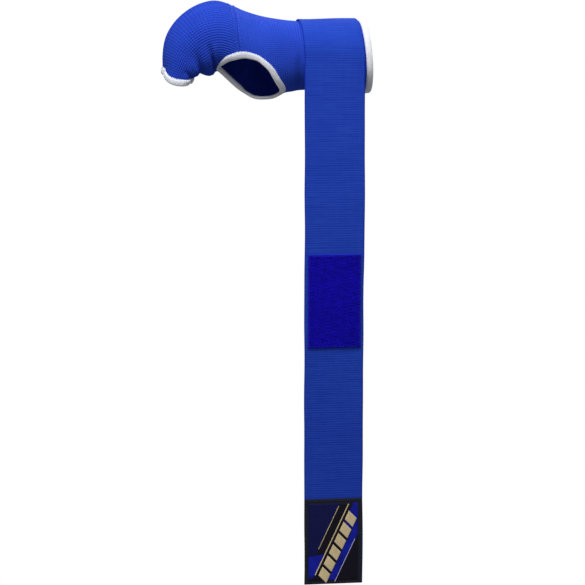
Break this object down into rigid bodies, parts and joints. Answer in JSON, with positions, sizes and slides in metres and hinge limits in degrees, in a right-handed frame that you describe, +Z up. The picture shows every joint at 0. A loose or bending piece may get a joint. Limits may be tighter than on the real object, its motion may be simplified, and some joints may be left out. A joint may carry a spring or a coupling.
{
  "type": "hand wrap",
  "caption": "Slip-on boxing inner hand wrap on a closed fist: padded blue knit glove with white edging and a long elastic wrist strap hanging free.",
  "frame": {"origin": "centre of the wrist opening, at its edging", "axes": "+X out of the wrist opening towards the elbow, +Z up from the back of the hand, -Y towards the thumb side; the strap hangs along -Z"},
  "size_m": [0.1751, 0.0868, 0.4923],
  "materials": {
    "blue_knit": "matte ribbed knit",
    "blue_elastic": "matte ribbed woven elastic",
    "navy_loop": "fuzzy loop pile",
    "white_edging": "matte overlocked edging",
    "black_label": "matte woven label",
    "blue_label": "matte woven label",
    "gold_thread": "thread with a slight sheen",
    "blue_thread": "matte sewing thread",
    "grey_foam": "matte foam",
    "black_hook": "matte hook tape"
  },
  "bodies": {
    "glove": {"hand_sleeve": "blue_knit", "knuckle_cover": "blue_knit", "knuckle_pad": "grey_foam", "pocket_seam": "blue_thread", "thumb_edging": "white_edging", "wrist_edging": "white_edging", "finger_edging": "white_edging", "finger_web_1": "blue_knit", "finger_web_2": "blue_knit", "finger_web_3": "blue_knit", "strap_wrist_turn": "blue_elastic", "strap_anchor_stitching": "blue_thread"},
    "strap_upper_length": {"strap_upper": "blue_elastic"},
    "strap_panel_length": {"strap_middle": "blue_elastic", "loop_panel": "navy_loop", "loop_panel_stitching": "blue_thread"},
    "strap_lower_length": {"strap_lower": "blue_elastic"},
    "strap_end_tab": {"strap_end": "blue_elastic", "end_label": "black_label", "label_inset": "blue_label", "label_stitching": "black_label", "label_emblem": "gold_thread", "hook_pad": "black_hook", "hook_pad_stitching": "blue_thread"}
  },
  "joints": [
    {"name": "strap_swing", "type": "hinge", "parent": "glove", "child": "strap_upper_length", "pos_m": [-0.0302, -0.0351, -0.0155], "axis": [1, 0, 0], "range_deg": [-90, 45]},
    {"name": "panel_fold", "type": "hinge", "parent": "strap_upper_length", "child": "strap_panel_length", "pos_m": [-0.0302, -0.0351, -0.1613], "axis": [1, 0, 0], "range_deg": [-60, 60]},
    {"name": "lower_fold", "type": "hinge", "parent": "strap_panel_length", "child": "strap_lower_length", "pos_m": [-0.0302, -0.0351, -0.2417], "axis": [1, 0, 0], "range_deg": [-60, 60]},
    {"name": "end_fold", "type": "hinge", "parent": "strap_lower_length", "child": "strap_end_tab", "pos_m": [-0.0302, -0.0351, -0.37], "axis": [1, 0, 0], "range_deg": [-90, 90]}
  ]
}
